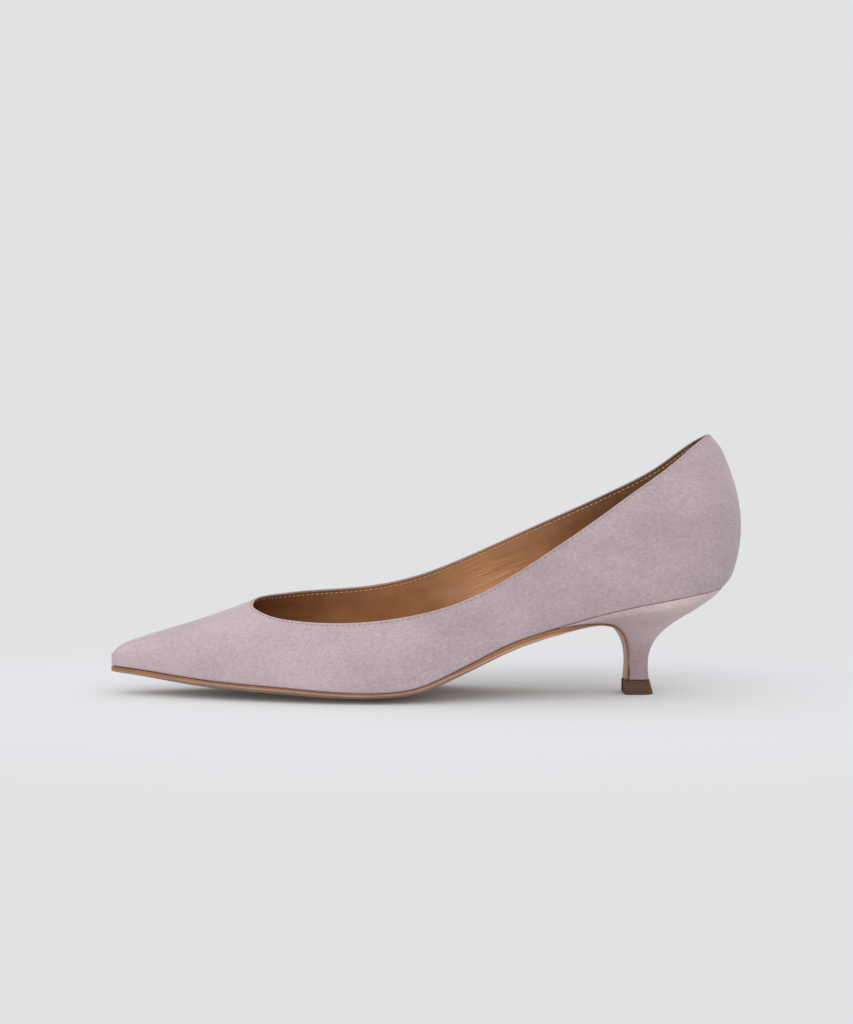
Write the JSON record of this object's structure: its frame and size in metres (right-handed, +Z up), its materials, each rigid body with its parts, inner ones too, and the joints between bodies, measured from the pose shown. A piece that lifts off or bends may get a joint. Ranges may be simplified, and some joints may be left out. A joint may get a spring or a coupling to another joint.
{
  "type": "pump shoe",
  "caption": "Pointed suede pump for the left foot, open at a low-cut collar, with a thin leather sole that runs on down the breast of a curved, covered heel to a hard top piece.",
  "frame": {"origin": "on the floor, under the middle of the shoe's length and width", "axes": "+X from the toe to the heel, +Y from the outer side of the foot to the inner side, +Z up"},
  "size_m": [0.2591, 0.0754, 0.1069],
  "materials": {
    "upper_suede": "pale lilac suede with a fine nap, over a smooth tan lining",
    "insole_leather": "smooth tan leather with a low sheen",
    "outsole_leather": "brown burnished edge, underside painted pale pinkish beige",
    "heel_suede": "pale lilac suede cover over a moulded core",
    "top_piece_rubber": "dull dark brown, hard"
  },
  "bodies": {
    "root": {"upper": "upper_suede", "insole": "insole_leather", "outsole": "outsole_leather", "heel": "heel_suede", "top_piece": "top_piece_rubber"}
  },
  "joints": []
}
